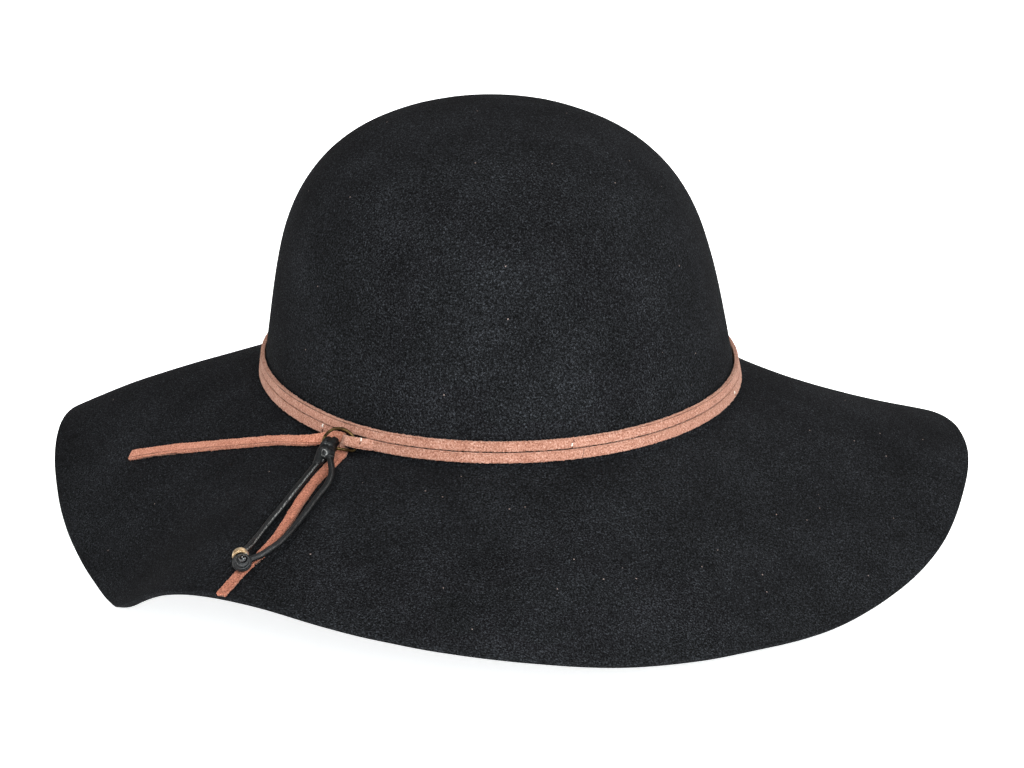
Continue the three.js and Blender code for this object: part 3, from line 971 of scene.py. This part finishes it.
shoulders = []
for side, leave in ((-1.0, strand_rows[0][26][1]), (1.0, strand_rows[1][6][1])):
    points = [
        in_hitch(0.6, side, -2.2),
        in_hitch(-1.9, side + 0.4, -1.4),
        in_hitch(-2.2, side + 0.5, 0.6),
        in_hitch(-0.4, side + 0.4, 1.5),
        in_hitch(2.4, side * 1.1 + 0.1, 1.1),
        in_hitch(5.2, side * 1.6, 0.6),
        leave,
    ]
    name = f"hitch_shoulder_{len(shoulders)}"
    shoulders.append(
        cord_length(name, points, False, lambda t, along: -hitch_up, SHOULDER_CORD, 0.06)
    )


def hitch_turn(name, place, wide, up, diameter):
    """One closed turn of cord round the hitch, at a place along it, leaning a little."""
    points = []
    for k in range(12):
        turn = 2 * math.pi * k / 12
        along = place - 0.8 * math.cos(turn) + 0.6 * math.sin(turn)
        points.append(in_hitch(along, wide * math.sin(turn), up + wide * math.cos(turn)))
    return cord_length(name, points, True, lambda t, along: hitch_along, diameter)


collar = hitch_turn("hitch_collar", 3.9, 1.95, 0.4, TIGHT_CORD)
end_turn = hitch_turn("hitch_end_turn", 7.6, 0.6, 0.9, 2.7 * MM)

work_on(shoulders[0])
for other in (shoulders[1], collar, end_turn, core):
    other.select_set(True)
bpy.ops.object.join()
hitch = shoulders[0]
hitch.name = "cord_hitch_on_ring"
apply_modifier(
    hitch,
    "DISPLACE",
    texture=clouds("hitch_lumps", 1.5 * MM),
    texture_coords="LOCAL",
    strength=0.9 * MM,
    mid_level=0.5,
)
finish_piece(hitch, "waxed_cord", cord_finish, "cord_hitch")

# %% [markdown]
# ### The bead and the knot
# The bead is a small turned brass ball with a hole through it. It starts as a sphere, its two ends
# are pushed in to make the hole, and the hole's rims are rounded. The knot is the cord wound round
# under the bead, with its end melted into a glossy drop.

# %% Bead
BALL_MIDDLE = on_hat(-86.8, -148.4, -15.1)
BEAD_RADIUS = 2.8 * MM
BEAD_RISE = 0.75 * MM  # the knot is bigger than the bead and hangs a little below its middle
BALL_DIP = math.radians(25)  # how far its axis dips below level, towards the front
FLAT_FACE = 0.7 * MM  # where the knot presses on the bead, from its middle
BACK_FACE = -2.4 * MM
HOLE_RIM, HOLE_DEPTH = 0.7 * MM, 1.0 * MM
ball_axis = Vector((0.05, -math.cos(BALL_DIP), -math.sin(BALL_DIP))).normalized()
turn_to_ball = ball_axis.to_track_quat("Z", "Y").to_matrix().to_4x4()
ball_place = Matrix.Translation(BALL_MIDDLE) @ turn_to_ball

bpy.ops.object.select_all(action="DESELECT")
bpy.ops.mesh.primitive_uv_sphere_add(segments=48, ring_count=32, radius=BEAD_RADIUS)
bead = bpy.context.object
bead.name = "brass_bead"
bpy.ops.object.mode_set(mode="EDIT")
for place, way in ((FLAT_FACE, 1), (BACK_FACE, -1)):
    bpy.ops.mesh.select_all(action="SELECT")
    bpy.ops.mesh.bisect(
        plane_co=(0, 0, place), plane_no=(0, 0, way), use_fill=True, clear_outer=True
    )
    pick(bead, "FACE", lambda face: abs(face.calc_center_median().z - place) < 0.01 * MM)
    bpy.ops.mesh.inset(thickness=HOLE_RIM)
    bpy.ops.mesh.extrude_region_move(TRANSFORM_OT_translate={"value": (0, 0, -way * HOLE_DEPTH)})
bpy.ops.object.mode_set(mode="OBJECT")
apply_modifier(bead, "BEVEL", width=0.22 * MM, segments=3, limit_method="ANGLE")
bead.data.transform(Matrix.Translation((0, 0, BEAD_RISE)) @ ball_place)
bead.data.update()
smooth(bead, 40)
finish_piece(bead, "brass", bead_brass, "bead")

# %% Knot
KNOT_MIDDLE = BALL_MIDDLE + Vector((0.6, -1.7, -0.8)) * MM
KNOT_TILT = math.radians(40)  # how far its end faces up from level
knot_axis = Vector((0.05, -math.cos(KNOT_TILT), math.sin(KNOT_TILT))).normalized()
turn_to_knot = knot_axis.to_track_quat("Z", "Y").to_matrix().to_4x4()
knot_place = Matrix.Translation(KNOT_MIDDLE) @ turn_to_knot
KNOT_CORD = 1.5 * MM
KNOT_FILL = 2.5 * MM  # radius of the part of the knot that its windings hide
WRAP_STEPS = 42
WRAP_TURNS = 3.0
wraps = []
for k in range(WRAP_STEPS + 1):
    share = k / WRAP_STEPS
    turn = 2 * math.pi * (WRAP_TURNS * share + 0.05)
    radius = (2.6 - 0.95 * max(share - 0.45, 0) / 0.55) * MM
    height = (-1.1 + 2.6 * share) * MM
    wraps.append(knot_place @ Vector((radius * math.cos(turn), radius * math.sin(turn), height)))
knot = cord_length("cord_end_knot", wraps, False, lambda t, along: knot_axis, KNOT_CORD, 0.3)

bpy.ops.object.select_all(action="DESELECT")
bpy.ops.mesh.primitive_uv_sphere_add(segments=24, ring_count=16, radius=KNOT_FILL)
fill = bpy.context.object
fill.data.transform(knot_place)
work_on(knot)
fill.select_set(True)
bpy.ops.object.join()

bpy.ops.object.select_all(action="DESELECT")
bpy.ops.mesh.primitive_uv_sphere_add(segments=28, ring_count=16, radius=1.5 * MM)
drop = bpy.context.object
drop.name = "melted_drop"
drop.data.transform(knot_place @ Matrix.Translation((0.3 * MM, 0.3 * MM, 2.1 * MM)))
apply_modifier(
    drop,
    "DISPLACE",
    texture=clouds("melted_lumps", 1.5 * MM),
    texture_coords="LOCAL",
    strength=0.25 * MM,
    mid_level=0.5,
)
smooth(drop, 80)
finish_piece(knot, "waxed_cord", clean_finish, "end_knot")
finish_piece(drop, "waxed_cord", wax_finish)

# %% [markdown]
# ## The felt
# The crown and the brim are one piece of felt, pulled over a wooden block and steamed. The solid
# has the block's form in flat faces, so a subdivision surface rounds it, its cut edge is kept
# crisp, and shallow unevenness of a few tenths of a millimetre is pressed into it, as hands and
# steam leave it.

# %% Felt body
felt = solid_copy("wool_felt_hat_body", "felt_body")
creases = felt.data.attributes.new("crease_edge", "FLOAT", "EDGE")
mesh = bmesh.new()
mesh.from_mesh(felt.data)
mesh.edges.ensure_lookup_table()
sharp = [e.index for e in mesh.edges if len(e.link_faces) == 2 and e.calc_face_angle(0) > 0.9]
mesh.free()
for index in sharp:
    creases.data[index].value = 0.7
apply_modifier(felt, "SUBSURF", levels=2, render_levels=2)
apply_modifier(
    felt,
    "DISPLACE",
    texture=clouds("hand_pressed", 28 * MM, 1),
    texture_coords="LOCAL",
    strength=0.5 * MM,
    mid_level=0.5,
)
for vertex in felt.data.vertices:
    vertex.co.z = max(vertex.co.z, 0)
smooth(felt, 50)
finish_piece(felt, "felt", felt_finish, "felt_body")

# %% The two band laces
EDGE_ROUNDING = 0.14 * MM  # how much the cut edges draw back, so that a line shows between laces
for name, rows, node, material in (
    ("suede_band_upper", upper_route, "band_upper_lace", upper_suede),
    ("suede_band_lower", lower_route, "band_lower_lace", lower_suede),
):
    length = rows[-1][0]
    depth = LINE_DEPTH / 2 if rows is upper_route else 0
    width = LACE_WIDTH - EDGE_ROUNDING
    band = straight_lace(name, length, width, LACE_THICKNESS, 0.5 * MM, line_depth=depth)
    if rows is lower_route:
        for vertex in band.data.vertices:
            vertex.co.z *= 1 - 0.5 * max(1 - (length - vertex.co.x) / HIDDEN_END, 0)
    lay(band, rows)
    smooth(band, 60)
    finish_piece(band, "suede", material, node)

# %% [markdown]
# ### Tacks
# The laces are tacked to the felt with a few tiny stitches of white thread. Each shows as a short
# bright bead of thread beside the dark hole that its needle made. One stitch, one hole and one
# joint are modelled as small capsules, and each one on the laces is a copy, turned a little.

# %% Tack material
def plain_thread():
    """White spun polyester, slightly fuzzy."""
    material, shader = new_material("white_polyester_thread")
    place = add_node(material, "TexCoord").outputs["Object"]
    twist = noise(material, place, 0.3 * MM, 2.0)
    thread = set_ramp(
        add_node(material, "ValToRGB", Fac=twist.outputs["Fac"]), (0.35, "A89F95"), (0.6, "DCD2C6")
    )
    sockets = {"Roughness": 0.6, "Sheen Weight": 0.2}
    return finish_with(material, shader, sockets, Base_Color=thread.outputs["Color"])


def needle_hole():
    """The inside of a hole through suede, where hardly any light comes back."""
    material, shader = new_material("needle_hole_in_suede")
    place = add_node(material, "TexCoord").outputs["Object"]
    fibres = noise(material, place, 0.4 * MM, 2.0)
    dark = set_ramp(
        add_node(material, "ValToRGB", Fac=fibres.outputs["Fac"]), (0.4, "1E0F0A"), (0.65, "6B3E2F")
    )
    return finish_with(material, shader, {"Roughness": 0.95}, Base_Color=dark.outputs["Color"])


thread_finish, hole_finish = plain_thread(), needle_hole()

# %% Where the tacks are
# Azimuth in degrees, height over the crown's foot in mm, and what shows there. The lower lace is
# pieced from two lengths, and their ends meet in a fine dark line across it.
TACKS = (
    (-44.9, 5.4, "thread"),
    (-44.6, 3.6, "hole"),
    (16.6, 6.8, "thread"),
    (16.7, 7.9, "hole"),
    (16.5, 5.8, "hole"),
    (73.2, 3.6, "thread"),
    (73.4, 2.4, "hole"),
    (19.0, 3.2, "butt joint"),
)
JOINT_TACKS = ((4.8, -1.5, "thread"), (4.9, -0.2, "hole"))  # along and across the lace, in mm
CROWN_HALF_WIDTH, CROWN_HALF_DEPTH = 87.2, 99.9  # mm


def on_band(azimuth, height):
    """The middle of the lace's face at an azimuth, moved to a height, with its three directions."""
    turn = math.radians(azimuth)
    goal = Vector((CROWN_HALF_WIDTH * math.sin(turn), -CROWN_HALF_DEPTH * math.cos(turn), 0))
    foot = on_hat(0, 0, 0)
    row = max(upper_route, key=lambda r: (r[1] - foot).xy.normalized().dot(goal.xy.normalized()))
    _, centre, across, face = row
    lift = (height * MM + foot.z - centre.z) / across.z
    return centre + across * lift + face * LACE_THICKNESS / 2, across, face


def on_lace_end(along, side):
    row = min(down_route, key=lambda r: abs(r[0] - along * MM))
    _, centre, across, face = row
    return centre + across * side * MM + face * TAIL_THICKNESS / 2, across, face


# %% Tacks
def capsule(name, length, width, bend):
    """A short rounded piece of thread along Y, bent out of the XY plane."""
    bpy.ops.object.select_all(action="DESELECT")
    bpy.ops.mesh.primitive_uv_sphere_add(
        segments=14, ring_count=12, radius=width / 2, rotation=(math.pi / 2, 0, 0)
    )
    piece = bpy.context.object
    piece.name = name
    apply_place(piece)
    for vertex in piece.data.vertices:
        stretch = (length - width) / 2
        vertex.co.y += math.copysign(stretch, vertex.co.y) if abs(vertex.co.y) > 1e-6 else 0
        vertex.co.z -= bend * (vertex.co.y / (length / 2)) ** 2
    return piece


MODELS = {
    "thread": (capsule("thread_tack", 1.3 * MM, 0.55 * MM, 0.3 * MM), thread_finish, 0.12 * MM),
    "hole": (capsule("needle_hole", 1.0 * MM, 0.75 * MM, 0.1 * MM), hole_finish, -0.22 * MM),
    "butt joint": (capsule("butt_joint", 3.5 * MM, 0.3 * MM, 0.0), hole_finish, -0.1 * MM),
}


def tack(number, place, across, face, kind):
    """A copy of one model, with a mesh of its own, set into the lace's face."""
    model, material, lift = MODELS[kind]
    piece = model.copy()
    piece.data = model.data.copy()
    piece.name = f"{model.name}_{number}"
    bpy.context.collection.objects.link(piece)
    tilt = Matrix.Rotation(0.35 * math.sin(2.4 * number), 4, "Z")
    axes = Matrix((across.cross(face), across, face)).transposed().to_4x4()
    piece.data.transform(Matrix.Translation(place + face * lift) @ axes @ tilt)
    piece.data.update()
    smooth(piece, 80)
    finish_piece(piece, "suede", material)


places = [(*on_band(azimuth, height), kind) for azimuth, height, kind in TACKS]
places += [(*on_lace_end(along, side), kind) for along, side, kind in JOINT_TACKS]
for number, (place, across, face, kind) in enumerate(places):
    tack(number, place, across.normalized(), face.normalized(), kind)
for model, _, _ in MODELS.values():
    bpy.data.objects.remove(model)

# %% [markdown]
# ## The ring
# A D-shaped ring of brass wire joins the laces and the cord. The solid is a thin tube with flat
# faces, so a copy of it is rounded by a subdivision surface.

# %% D-ring
ring = solid_copy("brass_d_ring", "d_ring")
apply_modifier(ring, "SUBSURF", levels=2, render_levels=2)
smooth(ring, 80)
finish_piece(ring, "brass", ring_brass, "d_ring")

# %% [markdown]
# ## Studio
# A pale floor and soft, large lights. A wide light in front shows the nap of the crown, a smaller
# one high on the left throws the cord's shadow, and a pale room fills the rest. The floor is a
# light table: it glows itself, so that the hat's shadow stays pale and its dark edge stands clear.

# %% Floor and lights
bpy.context.scene.view_settings.view_transform = "Standard"
bpy.ops.mesh.primitive_plane_add(size=40, location=(0, 0, 0))
floor = bpy.context.object
floor.name = "studio_floor"
floor_paint, floor_shader = new_material("pale_studio_floor")
floor_shader.inputs["Base Color"].default_value = hex_colour("FBFBFB")
floor_shader.inputs["Roughness"].default_value = 0.9
floor_shader.inputs["Emission Color"].default_value = (1, 1, 1, 1)
floor_shader.inputs["Emission Strength"].default_value = 0.8
floor.data.materials.append(floor_paint)

world = bpy.data.worlds.new("white_room")
world.use_nodes = True
world.node_tree.nodes["Background"].inputs["Color"].default_value = (1, 0.98, 0.96, 1)
world.node_tree.nodes["Background"].inputs["Strength"].default_value = 0.25
bpy.context.scene.world = world


def soft_light(name, place, size, power, tint=(1, 1, 1)):
    """A square soft box of a size in metres, facing the hat."""
    lamp = bpy.data.lights.new(name, "AREA")
    lamp.color = tint
    lamp.size = size
    lamp.energy = power
    light = bpy.data.objects.new(name, lamp)
    light.location = place
    towards = Vector((0, 0, 0.08)) - Vector(place)
    light.rotation_euler = towards.to_track_quat("-Z", "Y").to_euler()
    bpy.context.collection.objects.link(light)


soft_light("front_light", (0.25, -1.8, 0.85), 1.0, 48, (0.87, 0.955, 1.0))
soft_light("key_light", (-0.9, -0.9, 1.8), 0.4, 22)
soft_light("fill_light", (1.6, -0.9, 1.2), 1.0, 24)
soft_light("rim_light", (0.6, 1.4, 1.7), 1.4, 18)
